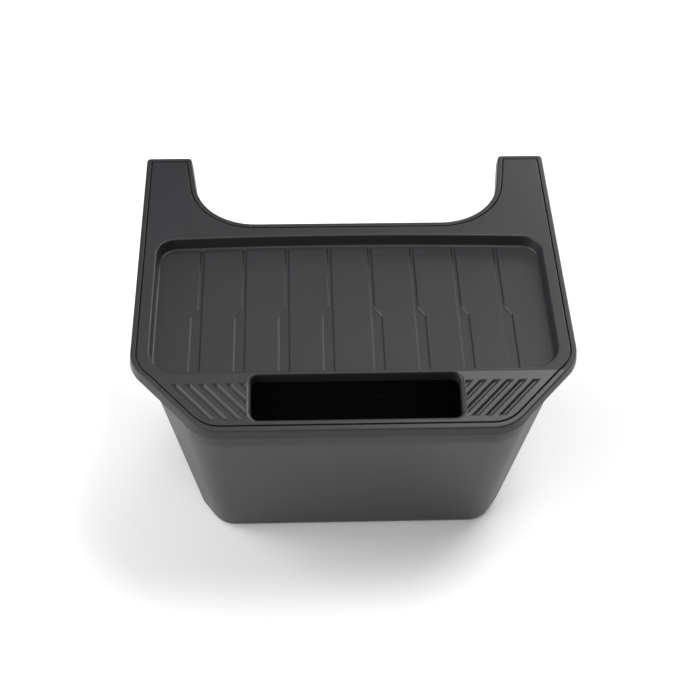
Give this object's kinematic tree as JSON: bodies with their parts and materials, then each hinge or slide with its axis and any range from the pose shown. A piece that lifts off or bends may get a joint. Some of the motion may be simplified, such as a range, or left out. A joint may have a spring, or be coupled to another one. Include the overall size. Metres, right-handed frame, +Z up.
{
  "type": "rear seat storage box",
  "caption": "Floor bin for the rear of a car's centre console, with a tray top, a front slot and two arms that straddle the console.",
  "frame": {"origin": "bottom centre of the bounding box, on the floor under the bin", "axes": "+X to the right seen from the front, +Y to the rear where the arms point, +Z up"},
  "size_m": [0.3014, 0.256, 0.158],
  "materials": {
    "bin_plastic": "moulded, fine grain",
    "frame_plastic": "moulded, fine grain",
    "cover_plastic": "moulded, fine grain"
  },
  "bodies": {
    "root": {"storage_bin": "bin_plastic", "rim_frame": "frame_plastic", "cover_plate": "cover_plastic"}
  },
  "joints": []
}
